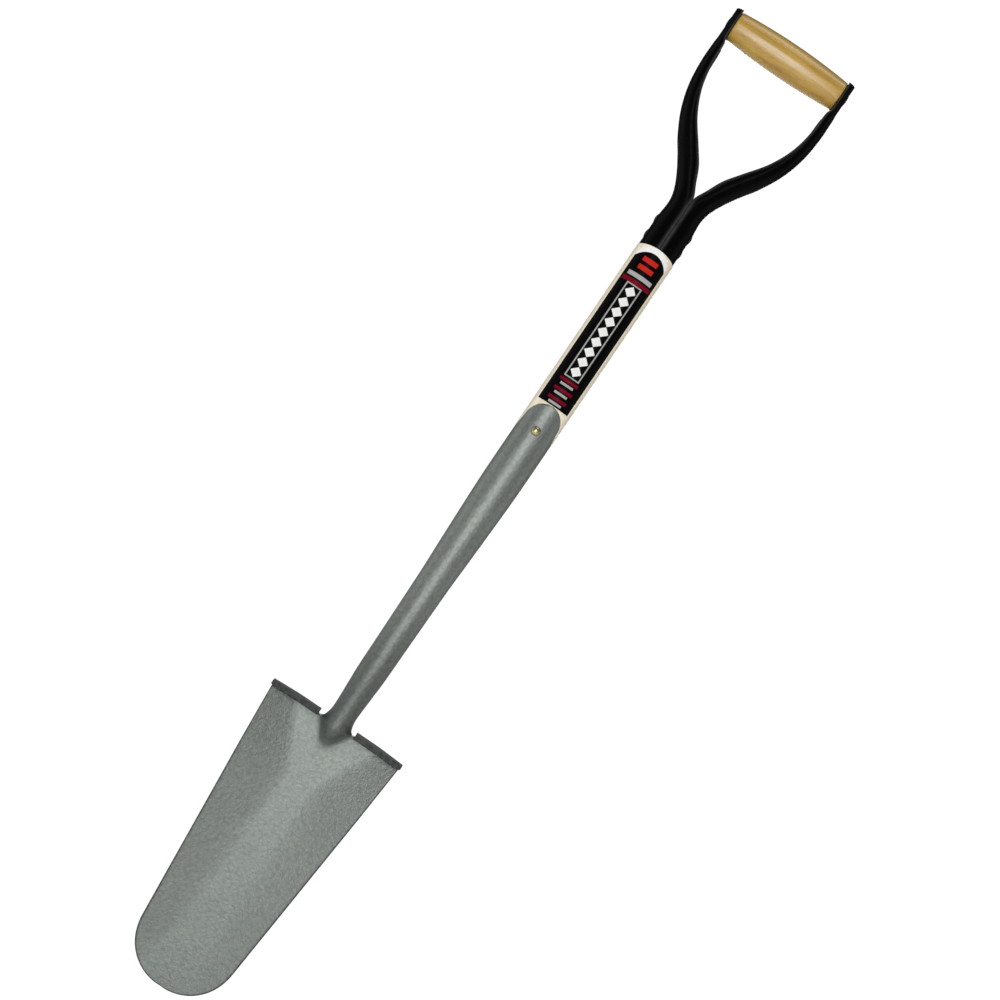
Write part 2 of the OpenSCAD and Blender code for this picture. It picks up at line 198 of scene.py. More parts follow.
def smooth_curve(knots_x, knots_y, x):
    """Hermite curve through knots, level at both ends."""
    kx, ky = np.asarray(knots_x, float), np.asarray(knots_y, float)
    slope = np.zeros_like(ky)
    slope[1:-1] = (ky[2:] - ky[:-2]) / (kx[2:] - kx[:-2])
    x = np.clip(np.asarray(x, float), kx[0], kx[-1])
    i = np.clip(np.searchsorted(kx, x, side="right") - 1, 0, len(kx) - 2)
    h = kx[i + 1] - kx[i]
    t = (x - kx[i]) / h
    return (
        (1 - t) ** 2 * ((1 + 2 * t) * ky[i] + t * h * slope[i])
        + t ** 2 * ((3 - 2 * t) * ky[i + 1] - (1 - t) * h * slope[i + 1])
    )


def smooth_step(x):
    """Rises from 0 to 1 as x does, level at both ends."""
    x = np.clip(x, 0, 1)
    return x * x * (3 - 2 * x)


class Builder:
    """Collects points in millimetres and faces, and makes a mesh object of them."""

    def __init__(self):
        self.points = []
        self.faces = []
        self.edge = []

    def add(self, points, edge=0.0):
        """Adds points and returns their numbers; edge weights worn edges, painted shade on the
        welds and painted highlights on the yoke's lips.
        """
        points = np.asarray(points, float).reshape(-1, 3)
        start = len(self.points)
        self.points.extend(points.tolist())
        self.edge.extend(np.broadcast_to(np.asarray(edge, float), len(points)).tolist())
        return np.arange(start, start + len(points))

    def strip(self, a, b, closed=False):
        """Quads between two rows of points of the same length."""
        n = len(a)
        for k in range(n if closed else n - 1):
            m = (k + 1) % n
            self.faces.append([int(a[k]), int(a[m]), int(b[m]), int(b[k])])

    def grid(self, rows, closed=False):
        for a, b in zip(rows[:-1], rows[1:]):
            self.strip(a, b, closed)

    def cap(self, loop):
        self.faces.append([int(k) for k in loop])

    def fan(self, loop, centre, closed=True):
        n = len(loop)
        for k in range(n if closed else n - 1):
            self.faces.append([int(loop[k]), int(loop[(k + 1) % n]), int(centre)])

    def make(self, name, material, nodes=(), shade=None):
        """Makes the object, which rides on the root body and may stand for CAD nodes.

        shade works out from the points how much painted shade darkens the paint there.
        """
        points = np.array(self.points)
        mesh = bpy.data.meshes.new(name)
        mesh.from_pydata((points * MM).tolist(), [], self.faces)
        painted_shade = np.zeros(len(points)) if shade is None else shade(*points.T)
        for key, values in (("wear_and_painted_light", self.edge), ("painted_shade", painted_shade)):
            attribute = mesh.attributes.new(key, "FLOAT", "POINT")
            attribute.data.foreach_set("value", np.array(values, np.float32))
        work = bmesh.new()
        work.from_mesh(mesh)
        bmesh.ops.remove_doubles(work, verts=work.verts, dist=WELD_DIST)
        bmesh.ops.dissolve_degenerate(work, edges=work.edges, dist=WELD_DIST)
        bmesh.ops.recalc_face_normals(work, faces=work.faces)
        work.to_mesh(mesh)
        work.free()
        mesh.shade_smooth()
        mesh.set_sharp_from_angle(angle=SHARP_ANGLE)
        mesh.materials.append(material)
        piece = bpy.data.objects.new(name, mesh)
        bpy.context.scene.collection.objects.link(piece)
        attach(piece, "root")
        if nodes:
            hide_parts(*nodes)
        return piece


def hand(side):
    return "right" if side > 0 else "left"


def turned(builder, profile, place, segments, edge, bored=False):
    """Lathe work: profile is a list of (along, radius); place puts (along, across, up) in XYZ.

    A bored piece has a hole right through it, as wide as the profile's two ends.
    """
    angles = np.linspace(0, 2 * math.pi, segments, endpoint=False)
    rows = []
    for (along, radius), worn in zip(profile, edge):
        ring = [place(along, radius * math.sin(a), radius * math.cos(a)) for a in angles]
        rows.append(builder.add(ring, worn))
    builder.grid(rows, closed=True)
    if bored:
        builder.strip(rows[-1], rows[0], closed=True)
        return
    for row, (along, _) in ((rows[0], profile[0]), (rows[-1], profile[-1])):
        centre = builder.add([place(along, 0, 0)])[0]
        builder.fan(row, centre)


# ---------------------------------------------------------------- shader helpers

class Shader:
    """A node tree under construction. Inputs given as sockets are linked, others are set."""

    def __init__(self, tree):
        self.tree = tree

    def node(self, kind, inputs=None, **settings):
        made = self.tree.nodes.new(kind)
        for key, value in settings.items():
            setattr(made, key, value)
        for key, value in (inputs or {}).items():
            if isinstance(value, bpy.types.NodeSocket):
                self.tree.links.new(value, made.inputs[key])
            else:
                made.inputs[key].default_value = value
        return made

    def math(self, operation, a, b=0.0, clamp=False):
        inputs = {0: a, 1: b}
        return self.node("ShaderNodeMath", inputs, operation=operation, use_clamp=clamp).outputs[0]

    def attribute(self, name):
        return self.node("ShaderNodeAttribute", attribute_name=name).outputs["Fac"]

    def noise(self, vector, scale, detail, roughness=0.5, distortion=0.0):
        return self.node(
            "ShaderNodeTexNoise",
            {"Vector": vector, "Scale": scale, "Detail": detail, "Roughness": roughness,
             "Distortion": distortion},
        ).outputs["Fac"]

    def stretched(self, vector, scale):
        inputs = {0: vector, 1: scale}
        return self.node("ShaderNodeVectorMath", inputs, operation="MULTIPLY").outputs[0]

    def moved(self, vector, shift):
        inputs = {0: vector, 1: shift}
        return self.node("ShaderNodeVectorMath", inputs, operation="ADD").outputs[0]

    def growth_rings(self, vector, centre, per_metre, bend, sway):
        """Rises from 0 to 1 across each growth ring round an axis; bend makes the rings wander."""
        offset = self.moved(vector, centre)
        away = self.node("ShaderNodeVectorMath", {0: offset}, operation="LENGTH").outputs["Value"]
        even = self.math("MULTIPLY", away, per_metre)
        return self.math("FRACT", self.math("ADD", even, self.math("MULTIPLY", bend, sway)))

    def ramp(self, value, stops):
        """Straight ramp through (position, colour) stops."""
        made = self.node("ShaderNodeValToRGB", {"Fac": value})
        elements = made.color_ramp.elements
        while len(elements) < len(stops):
            elements.new(0.5)
        for element, (position, colour) in zip(elements, stops):
            element.position = position
            element.color = (*colour, 1)
        return made.outputs["Color"]

    def level(self, value, low, high, to_low=0.0, to_high=1.0):
        """Maps low..high to to_low..to_high, and holds the ends beyond them."""
        inputs = {
            "Value": value, "From Min": low, "From Max": high, "To Min": to_low, "To Max": to_high,
        }
        return self.node("ShaderNodeMapRange", inputs, clamp=True).outputs["Result"]

    def mix(self, share, a, b):
        """Colour a where share is 0, and b where it is 1."""
        made = self.node("ShaderNodeMix", data_type="RGBA")
        for socket, value in ((made.inputs[0], share), (made.inputs[6], a), (made.inputs[7], b)):
            if isinstance(value, bpy.types.NodeSocket):
                self.tree.links.new(value, socket)
            elif isinstance(value, tuple):
                socket.default_value = (*value, 1)
            else:
                socket.default_value = value
        return made.outputs[2]

    def bump(self, height, depth, normal=None, strength=1.0):
        inputs = {"Height": height, "Distance": depth, "Strength": strength}
        if normal is not None:
            inputs["Normal"] = normal
        return self.node("ShaderNodeBump", inputs).outputs["Normal"]


def new_material(name):
    """A new material, its node tree's Shader, its Principled node and the object's coordinates."""
    material = bpy.data.materials.new(name)
    material.use_nodes = True
    shader = Shader(material.node_tree)
    principled = material.node_tree.nodes["Principled BSDF"]
    place = shader.node("ShaderNodeTexCoord").outputs["Object"]
    return material, shader, principled, place


def connect(shader, principled, **sockets):
    """Sets or links the shader's inputs; underscores stand for spaces."""
    for key, value in sockets.items():
        socket = principled.inputs[key.replace("_", " ")]
        if isinstance(value, bpy.types.NodeSocket):
            shader.tree.links.new(value, socket)
        else:
            socket.default_value = value


# ---------------------------------------------------------------- materials

def hammered_paint():
    """Grey-green hammer finish: soft dimples a few millimetres across over a silky base."""
    material, s, principled, place = new_material("hammered_paint")
    warp = s.node("ShaderNodeTexNoise", {"Vector": place, "Scale": 240.0, "Detail": 2.0})
    moved = s.moved(place, s.stretched(warp.outputs["Color"], (0.0016, 0.0016, 0.0016)))
    dimple = s.node(
        "ShaderNodeTexVoronoi", {"Vector": moved, "Scale": 330.0, "Smoothness": 0.7},
        feature="SMOOTH_F1",
    ).outputs["Distance"]
    fine = s.noise(place, 1100.0, 2.0)
    broad = s.noise(place, 26.0, 3.0)
    cells = s.level(dimple, 0.15, 0.75)
    worms = s.noise(place, 340.0, 2.0, 0.45, 0.8)
    cell_colour = s.ramp(
        cells,
        [(0.0, (0.300, 0.324, 0.300)), (0.55, (0.270, 0.293, 0.270)), (1.0, (0.228, 0.250, 0.230))],
    )
    mottled = s.mix(s.level(fine, 0.3, 0.7, 0.0, 0.25), cell_colour, (0.33, 0.355, 0.33))
    toned = s.mix(s.level(broad, 0.35, 0.65, 0.0, 0.3), mottled, (0.222, 0.243, 0.248))
    # Darker at worn edges, and on the weld beads, where the darkening is painted shade
    rubbed = s.level(s.noise(place, 420.0, 3.0), 0.25, 0.6, 0.55, 1.0)
    wear_and_shade = s.math("MULTIPLY", s.attribute("wear_and_painted_light"), rubbed, True)
    # Painted shade on the frog, neck, tread crease and treads, uneven in patches
    painted_shade = s.attribute("painted_shade")
    patch = s.level(s.noise(place, 260.0, 3.0), 0.35, 0.65, 0.72, 0.88)
    with_painted_shade = s.mix(s.math("MULTIPLY", painted_shade, patch), toned, (0.03, 0.034, 0.032))
    colour = s.mix(wear_and_shade, with_painted_shade, (0.055, 0.062, 0.058))
    normal = s.bump(dimple, 0.00020, strength=0.45)
    normal = s.bump(worms, 0.00060, normal, 0.55)
    normal = s.bump(fine, 0.00006, normal, 0.5)
    normal = s.bump(broad, 0.0012, normal, 0.2)
    # Where shade is painted in, the paint also loses its metal flakes and its shine
    metal = s.level(painted_shade, 0.55, 1.0, 0.85, 0.0)
    rough = s.level(painted_shade, 0.55, 1.0, 0.52, 0.95)
    connect(
        s, principled, Base_Color=colour, Metallic=metal, Roughness=rough, Normal=normal,
        Specular_IOR_Level=0.3,
    )
    return material


def ash_wood():
    """Pale straight-grained ash under a thin clear coat."""
    material, s, principled, place = new_material("ash_wood")
    along = s.stretched(place, (1.0, 1.0, 0.045))
    bend = s.noise(s.stretched(place, (1.0, 1.0, 0.12)), 34.0, 2.0)
    ring = s.growth_rings(along, (0.031, 0.052, 0.0), 330.0, bend, 2.6)
    late = s.level(ring, 0.55, 0.98)
    pores = s.noise(s.stretched(place, (1.0, 1.0, 0.02)), 2600.0, 2.0, 0.6)
    pore = s.math("MULTIPLY", s.level(pores, 0.56, 0.70), s.level(ring, 0.0, 0.5, 1.0, 0.25))
    tone = s.noise(s.stretched(place, (1.0, 1.0, 0.08)), 60.0, 3.0)
    base = s.ramp(tone, [(0.3, (0.90, 0.80, 0.60)), (0.7, (0.95, 0.88, 0.72))])
    grained = s.mix(s.math("MULTIPLY", late, 0.42), base, (0.66, 0.47, 0.27))
    colour = s.mix(s.math("MULTIPLY", pore, 0.35), grained, (0.42, 0.27, 0.14))
    normal = s.bump(pores, 0.00010, strength=0.35)
    normal = s.bump(late, 0.00008, normal, 0.3)
    rough = s.level(pore, 0.0, 1.0, 0.40, 0.60)
    connect(s, principled, Base_Color=colour, Roughness=rough, Normal=normal,
            Specular_IOR_Level=0.35, Coat_Weight=0.15, Coat_Roughness=0.25)
    return material


def varnished_wood():
    """Golden turned hardwood of the grip, its grain running along the grip, under varnish."""
    material, s, principled, place = new_material("varnished_wood")
    along = s.stretched(place, (0.05, 1.0, 1.0))
    bend = s.noise(s.stretched(place, (0.16, 1.0, 1.0)), 60.0, 3.0)
    ring = s.growth_rings(along, (0.0, 0.034, -0.966), 260.0, bend, 3.4)
    late = s.level(ring, 0.45, 1.0)
    streak = s.noise(s.stretched(place, (0.03, 1.0, 1.0)), 900.0, 3.0, 0.65)
    fleck = s.level(streak, 0.55, 0.72)
    tone = s.noise(s.stretched(place, (0.25, 1.0, 1.0)), 110.0, 2.0)
    base = s.ramp(tone, [(0.3, (0.46, 0.270, 0.040)), (0.7, (0.57, 0.355, 0.062))])
    grained = s.mix(s.math("MULTIPLY", late, 0.4), base, (0.34, 0.175, 0.024))
    colour = s.mix(s.math("MULTIPLY", fleck, 0.35), grained, (0.28, 0.14, 0.022))
    colour = s.mix(s.math("MULTIPLY", s.attribute("wear_and_painted_light"), 0.5), colour, (0.22, 0.11, 0.035))
    normal = s.bump(streak, 0.00010, strength=0.4)
    connect(s, principled, Base_Color=colour, Roughness=0.38, Normal=normal,
            Specular_IOR_Level=0.4, Coat_Weight=1.0, Coat_Roughness=0.24)
    return material


def black_enamel():
    """Gloss black paint on pressed steel, with a faint orange peel and specks of dust."""
    material, s, principled, place = new_material("black_enamel")
    peel = s.noise(place, 420.0, 2.0)
    sag = s.noise(place, 60.0, 2.0)
    speck = s.level(s.noise(place, 1500.0, 1.0), 0.70, 0.80)
    # Lighter along the lips: partly paint worn off, partly a painted highlight along the seam and
    # arms
    rubbed = s.level(s.noise(place, 160.0, 4.0, 0.7), 0.3, 0.65, 0.55, 1.0)
    scuff_and_highlight = s.math("MULTIPLY", s.attribute("wear_and_painted_light"), rubbed, True)
    dusty = s.mix(s.math("MULTIPLY", speck, 0.25), (0.0018, 0.0018, 0.0020), (0.014, 0.014, 0.014))
    colour = s.mix(s.math("MULTIPLY", scuff_and_highlight, 0.8), dusty, (0.055, 0.057, 0.056))
    normal = s.bump(peel, 0.00012, strength=0.5)
    normal = s.bump(sag, 0.0006, normal, 0.25)
    rough = s.level(peel, 0.3, 0.7, 0.26, 0.34)
    connect(s, principled, Base_Color=colour, Roughness=rough, Normal=normal,
            Specular_IOR_Level=0.035)
    return material


def label_print():
    """Black sticker with a white edge round its arch and plain bars and lozenges, no lettering."""
    material, s, principled, place = new_material("label_print")
    split = s.node("ShaderNodeSeparateXYZ", {0: place})
    x = s.math("MULTIPLY", split.outputs["X"], 1 / MM)
    z = s.math("MULTIPLY", split.outputs["Z"], 1 / MM)
    soft = 0.35

    def inside(value, low, high):
        rise = s.level(value, low - soft / 2, low + soft / 2)
        fall = s.level(value, high - soft / 2, high + soft / 2, 1.0, 0.0)
        return s.math("MULTIPLY", rise, fall)

    def both(a, b):
        return s.math("MULTIPLY", a, b)

    def bar(low, high, half):
        return both(inside(z, low, high), inside(x, -half, half))

    top = LABEL_HIGH[2]
    bottom = LABEL_LOW[2]
    arch_r = 18.2
    above = s.math("SUBTRACT", z, top - 5.6 - arch_r)
    arch = s.math("SQRT", s.math("ADD", both(x, x), both(above, above)))
    under_arch = s.level(arch, arch_r, arch_r + soft, 1.0, 0.0)
    below = s.level(z, top - 6 - arch_r, top - 5.5 - arch_r, 1.0, 0.0)
    field = s.math("MAXIMUM", under_arch, below)

    bright = s.math("MAXIMUM", bar(top - 15.5, top - 11.0, 7.5), bar(top - 23.5, top - 19.0, 7.5))

    lozenge_count = 9
    lozenge_half = 5.2
    panel_low, panel_high = bottom + 31.0, top - 40.0
    pitch = (panel_high - panel_low) / lozenge_count
    step = s.math("FRACT", s.math("DIVIDE", s.math("SUBTRACT", z, panel_low), pitch))
    slant = s.math("ABSOLUTE", s.math("SUBTRACT", step, 0.5))
    diamond = s.math("ADD", slant, s.math("MULTIPLY", s.math("ABSOLUTE", x), 0.085))
    lozenges = both(
        bar(panel_low, panel_high, lozenge_half), s.level(diamond, 0.46, 0.50, 1.0, 0.0)
    )
    frame_outside = bar(panel_low - 1.9, panel_high + 1.9, 7.7)
    frame_inside = bar(panel_low - 0.8, panel_high + 0.8, 6.5)
    outline = s.math("SUBTRACT", frame_outside, frame_inside, True)

    silver = s.math("MAXIMUM", bar(top - 32.0, top - 28.0, 12.2), outline)
    red = bar(top - 38.0, top - 33.8, 14.0)
    for start in (5.2, 14.6, 24.2):
        red = s.math("MAXIMUM", red, bar(bottom + start, bottom + start + 3.0, 9.3))
        silver = s.math("MAXIMUM", silver, bar(bottom + start - 3.6, bottom + start - 1.4, 6.6))
    grain = s.noise(place, 900.0, 2.0)
    ink = s.mix(s.level(grain, 0.3, 0.7, 0.0, 0.4), (0.0020, 0.0020, 0.0022), (0.005, 0.005, 0.006))
    colour = s.mix(field, (0.90, 0.90, 0.88), ink)
    colour = s.mix(red, colour, (0.17, 0.004, 0.014))
    colour = s.mix(bright, colour, (0.55, 0.020, 0.014))
    colour = s.mix(silver, colour, (0.40, 0.40, 0.39))
    colour = s.mix(lozenges, colour, (0.84, 0.84, 0.82))
    ripple = s.noise(s.stretched(place, (1.0, 1.0, 0.3)), 70.0, 2.0)
    normal = s.bump(ripple, 0.0006, strength=0.25)
    normal = s.bump(grain, 0.00004, normal, 0.3)
    connect(s, principled, Base_Color=colour, Roughness=0.32, Normal=normal,
            Specular_IOR_Level=0.025)
    return material


def rivet_metal(name, mark_scale, dark, bright, rim_dark, mark_depth, strength, roughness):
    """Marked metal of a rivet's head, dark round its rim."""
    material, s, principled, place = new_material(name)
    marks = s.noise(place, mark_scale, 3.0)
    tone = s.ramp(marks, [(0.3, dark), (0.7, bright)])
    colour = s.mix(s.attribute("wear_and_painted_light"), tone, rim_dark)
    normal = s.bump(marks, mark_depth, strength=strength)
    connect(s, principled, Base_Color=colour, Metallic=0.9, Roughness=roughness, Normal=normal)
    return material


# ---------------------------------------------------------------- head: blade, neck and socket

def side_w(z):
    """Half width of the blade between its straight sides."""
    return (BLADE_TIP_W + (BLADE_TOP_W - BLADE_TIP_W) * z / BLADE_LEN) / 2


def flat_w(z):
    """Half of the blade's flat middle: a V below the frog that narrows to a band."""
    v = np.maximum(0, (z - V_START) / (BLADE_LEN - V_START))
    t = np.maximum(0, 1 - z / TIP_SPREAD_Z)
    return BAND_HALF + V_SPREAD * (1 + V_ROUND) * v * v / (v + V_ROUND) + TIP_SPREAD * t * t


def swell(x, z):
    """The frog over the blade's face, from 1 at its root to 0, with a soft lower edge."""
    down = np.maximum(0, (BLADE_LEN - z) / FROG_LEN)
    q = 1 - (x / FROG_R) ** 2 * (1 + NOSE_PINCH * down) - down ** NOSE_POWER
    return 0.5 * (q + np.sqrt(q * q + FROG_SOFT))


def front_y(x, z):
    """The blade's dished face: a flat middle, wings that slope forward, and the frog."""
    s = np.maximum(0, np.abs(x) - flat_w(z))
    up = z / BLADE_LEN
    wing = WING_SLOPE * (1 + up) / 2 * s * s / (s + TIP_SOFT + (TOP_SOFT - TIP_SOFT) * up)
    return BLADE_TOP_Y - BLADE_LIFT * (1 - z / BLADE_LEN) - wing - FROG_FRONT * swell(x, z)


def back_y(x, z):
    """The blade's back, one sheet behind its face, and the frog's back."""
    return front_y(x, z) + BLADE_T + (FROG_FRONT + FROG_BACK) * swell(x, z)


def blade_rows():
    """Heights and half widths of the blade's outline from the tip up."""
    angles = np.linspace(TIP_START, math.pi / 2, 34)
    power = 2 / TIP_POWER
    tip_z = TIP_H * (1 - (np.cos(angles) / math.cos(TIP_START)) ** power)
    tip_z[-1] = TIP_H
    tip_w = side_w(tip_z) * np.sin(angles) ** power
    frog_z = BLADE_LEN - 1.25 * FROG_LEN
    body = np.linspace(TIP_H, frog_z, 64)[1:]
    frog = np.linspace(frog_z, BLADE_LEN, 36)[1:]
    z = np.concatenate([tip_z, body, frog])
    w = np.concatenate([tip_w, side_w(body), side_w(frog)])
    return z, w


def blade_columns():
    """Places across the blade as shares of its half width; the middle ones lie on the neck."""
    share = 2 * FROG_R * math.sin(NECK_HALF_ANGLE) / BLADE_TOP_W
    angles = np.linspace(-NECK_HALF_ANGLE, NECK_HALF_ANGLE, NECK_STEPS + 1)
    middle = share * np.sin(angles) / math.sin(NECK_HALF_ANGLE)
    outer = share + (1 - share) * np.linspace(0, 1, 39)[1:]
    return np.concatenate([-outer[::-1], middle, outer]), len(outer)


def socket_radius(z):
    up = (z - BLADE_LEN - FILLET_H) / (ROOT_Z - BLADE_LEN - FILLET_H)
    neck = NECK_R + ROOT_SWELL * np.clip(up, 0, 1)
    return np.where(z < ROOT_Z, neck, smooth_curve(SOCKET_Z, SOCKET_RADII, z))


def strap_outline():
    """Right half of a strap's outline from the notch up to the apex, as (chord half width, z)."""
    notch_w = SOCKET_R * math.cos(NOTCH_HALF / SOCKET_R)
    points = [(notch_w, NOTCH_Z)]
    for k in range(1, 11):
        share = k / 10
        w = notch_w + (STRAP_R - notch_w) * share
        points.append((w, NOTCH_Z + (STRAP_MID - NOTCH_Z) * share))
    for k in range(1, 25):
        a = math.pi / 2 * k / 24
        points.append((STRAP_R * math.cos(a), STRAP_MID + STRAP_R * math.sin(a)))
    return points


def unwrapped_outline():
    """The straps' whole edge round the shaft: arc length s from the front's middle, z, normal."""
    right = [(SOCKET_R * math.asin(min(1, w / SOCKET_R)), z) for w, z in strap_outline()]
    half_turn = math.pi * SOCKET_R
    left = [(-s, z) for s, z in right]
    front = left[:-1] + right[::-1]
    back = [(s + half_turn, z) for s, z in front]
    points = np.array(front + back)
    ahead = np.roll(points, -1, axis=0)
    behind = np.roll(points, 1, axis=0)
    ahead[-1, 0] += 2 * half_turn
    behind[0, 0] -= 2 * half_turn
    tangent = ahead - behind
    normal = np.stack([-tangent[:, 1], tangent[:, 0]], axis=1)
    normal /= np.linalg.norm(normal, axis=1, keepdims=True)
    return points, normal


def rim_arch(x):
    """Height of the collar's rim, hollowed out at the front and back, over its lowest points."""
    return RIM_ARCH - RIM_ARCH_R + np.sqrt(RIM_ARCH_R ** 2 - np.asarray(x, float) ** 2)


def wrap(s, z, radius):
    """Places arc length s and height z on a cylinder of that radius round the shaft's axis."""
    a = np.asarray(s, float) / SOCKET_R
    radius = np.broadcast_to(np.asarray(radius, float), a.shape)
    z = np.broadcast_to(np.asarray(z, float), a.shape)
    return np.stack([radius * np.sin(a), -radius * np.cos(a), z], axis=-1)


def head_painted_shade(x, y, z):
    """Painted shade: darker paint on the frog's nose and the neck, and a painted shadow in the
    crease under the treads.
    """
    nose = smooth_step(1.5 * swell(x, z) - 0.1) * (z <= BLADE_LEN)
    neck = (1 - smooth_step((z - BLADE_LEN - 20) / 140)) * (z > BLADE_LEN)
    under_tread = (z <= BLADE_LEN) * (np.abs(x) > TREAD_INNER - 1)
    crease = smooth_step((z - BLADE_LEN + 3.2) / 2.2) * under_tread
    return np.maximum(0.5 * np.maximum(nose, neck), 0.9 * crease)


def build_head(material):
    b = Builder()
    rows_z, rows_w = blade_rows()
    columns, wing_count = blade_columns()
    last = len(rows_z) - 1
    tangent = np.gradient(np.stack([rows_w, rows_z], axis=1), axis=0)
    normal = np.stack([tangent[:, 1], -tangent[:, 0]], axis=1)
    normal /= np.linalg.norm(normal, axis=1, keepdims=True)
    normal[0] = (0.0, -1.0)
    rim = BLADE_T / 2
    inner_w = rows_w - rim * normal[:, 0]
    inner_z = rows_z - rim * normal[:, 1]
    inner_w[last], inner_z[last] = rows_w[last] - rim, BLADE_LEN

    wear_w = 1.6
    front, back = [], []
    for w, z in zip(inner_w, inner_z):
        x = columns * w
        worn = np.clip((np.abs(columns) * w - (w - wear_w)) / wear_w, 0, 1) ** 2 * 0.8
        zs = np.full_like(x, z)
        front.append(b.add(np.stack([x, front_y(x, zs), zs], axis=1), worn))
        back.append(b.add(np.stack([x, back_y(x, zs), zs], axis=1), worn))
    b.grid(front)
    b.grid(back)

    # Rounded rim: down the left side, along the tip and up the right side
    loop = [(i, 0, (-normal[i, 0], normal[i, 1])) for i in range(last, -1, -1)]
    loop += [(0, j, (0.0, -1.0)) for j in range(1, len(columns) - 1)]
    loop += [(i, len(columns) - 1, (normal[i, 0], normal[i, 1])) for i in range(last + 1)]
    rim_steps = 6
    profiles = []
    for i, j, (nx, nz) in loop:
        px, py, pz = b.points[front[i][j]]
        middle = py + rim
        inner = [
            (px + nx * rim * math.sin(p), middle - rim * math.cos(p), pz + nz * rim * math.sin(p))
            for p in (math.pi * m / rim_steps for m in range(1, rim_steps))
        ]
        numbers = b.add(inner, 0.85)
        profiles.append([front[i][j], *numbers, back[i][j]])
    b.grid(profiles)

    # Top edge, left open only where the neck stands on it
    neck = range(wing_count, wing_count + NECK_STEPS + 1)
    for j in range(len(columns) - 1):
        if j < neck[0] or j >= neck[-1]:
            b.cap([front[last][j], front[last][j + 1], back[last][j + 1], back[last][j]])
    b.cap(profiles[0])
    b.cap(profiles[-1])

    # Neck: each point of the top edge moves in to the neck's circle, then spreads evenly
    start = [front[last][j] for j in neck] + [back[last][j] for j in reversed(neck)]
    start_xy = np.array([b.points[k][:2] for k in start])
    size = len(start)
    half = size // 2
    natural = np.unwrap(np.arctan2(start_xy[:, 0], -start_xy[:, 1]))
    spacing = 2 * math.pi / size
    even = -math.pi / 2 + spacing * (np.arange(size) + 0.5)
    natural += 2 * math.pi * round((even[0] - natural[0]) / (2 * math.pi))
    far = np.hypot(start_xy[:, 0], start_xy[:, 1])
    rises = [0.3, 0.7, 1.2, 1.8, 2.6, 3.6, 4.8, 6.2, 8, 10, 12, 15, 19, 24, 29]
    heights = [BLADE_LEN + r for r in rises]
    heights += list(np.arange(ROOT_Z, NOTCH_Z - 6, 4.0)) + [NOTCH_Z - 5, NOTCH_Z - 2.5]
    rings = [np.array(start)]
    for z in heights:
        rise = z - BLADE_LEN
        f = 0 if rise >= FILLET_H else 1 - math.sqrt(1 - (1 - rise / FILLET_H) ** 2)
        radius = far * f + (1 - f) * float(socket_radius(np.array(z)))
        turn = natural + (even - natural) * smooth_step((rise - FILLET_H) / 70)
        ring = np.stack([radius * np.sin(turn), -radius * np.cos(turn), np.full(size, z)], axis=1)
        rings.append(b.add(ring))
    b.grid(rings, closed=True)

    # Straps: rows across each strap between its two edges, set in by the edge's rounding
    points, out = unwrapped_outline()
    inset = points - out * STRAP_EDGE
    count = len(points) // 2
    steps = (count - 1) // 2
    edge_numbers = np.zeros(len(points), int)
    top_ring = rings[-1]
    for side in (0, 1):
        left = inset[side * count:side * count + steps]
        right = inset[(side + 1) * count - 1:(side + 1) * count - 1 - steps:-1]
        share = np.linspace(0, 1, half)
        rows = []
        for (s0, z0), (s1, z1) in zip(left, right):
            rows.append(b.add(wrap(s0 + (s1 - s0) * share, z0 + (z1 - z0) * share, SOCKET_R)))
        b.grid(rows)
        b.strip(top_ring[side * half:(side + 1) * half], rows[0])
        s, z = inset[side * count + steps]
        apex = b.add(wrap([s], [z], SOCKET_R))[0]
        b.fan(rows[-1], apex, closed=False)
        for k in range(steps):
            edge_numbers[side * count + k] = rows[k][0]
            edge_numbers[(side + 1) * count - 1 - k] = rows[k][-1]
        edge_numbers[side * count + steps] = apex
    # The ring is also joined to the notches' bottoms
    b.cap([top_ring[half - 1], top_ring[half], edge_numbers[count], edge_numbers[count - 1]])
    b.cap([top_ring[-1], top_ring[0], edge_numbers[0], edge_numbers[-1]])
    rows = [edge_numbers]
    for p in (math.pi / 8, math.pi / 4, 3 * math.pi / 8, math.pi / 2):
        place = inset + out * STRAP_EDGE * math.sin(p)
        radius = SOCKET_R - STRAP_EDGE * (1 - math.cos(p))
        rows.append(b.add(wrap(place[:, 0], place[:, 1], radius), 0.7))
    rows.append(b.add(wrap(points[:, 0], points[:, 1], SOCKET_R - STRAP_DEPTH), 1))
    rows.append(b.add(wrap(points[:, 0], SOCKET_FLOOR, SOCKET_R - STRAP_DEPTH), 1))
    b.grid(rows, closed=True)
    b.fan(rows[-1], b.add([(0, 0, SOCKET_FLOOR)])[0])
    return b.make("head_forging", material, ["head"], head_painted_shade)


# ---------------------------------------------------------------- treads

def tread_painted_shade(x, y, z):
    """Painted shade: the treads are painted nearly black, their front faces darkest."""
    return np.where(y < 1.2 - TREAD_FRONT, 1.12, 1.06)


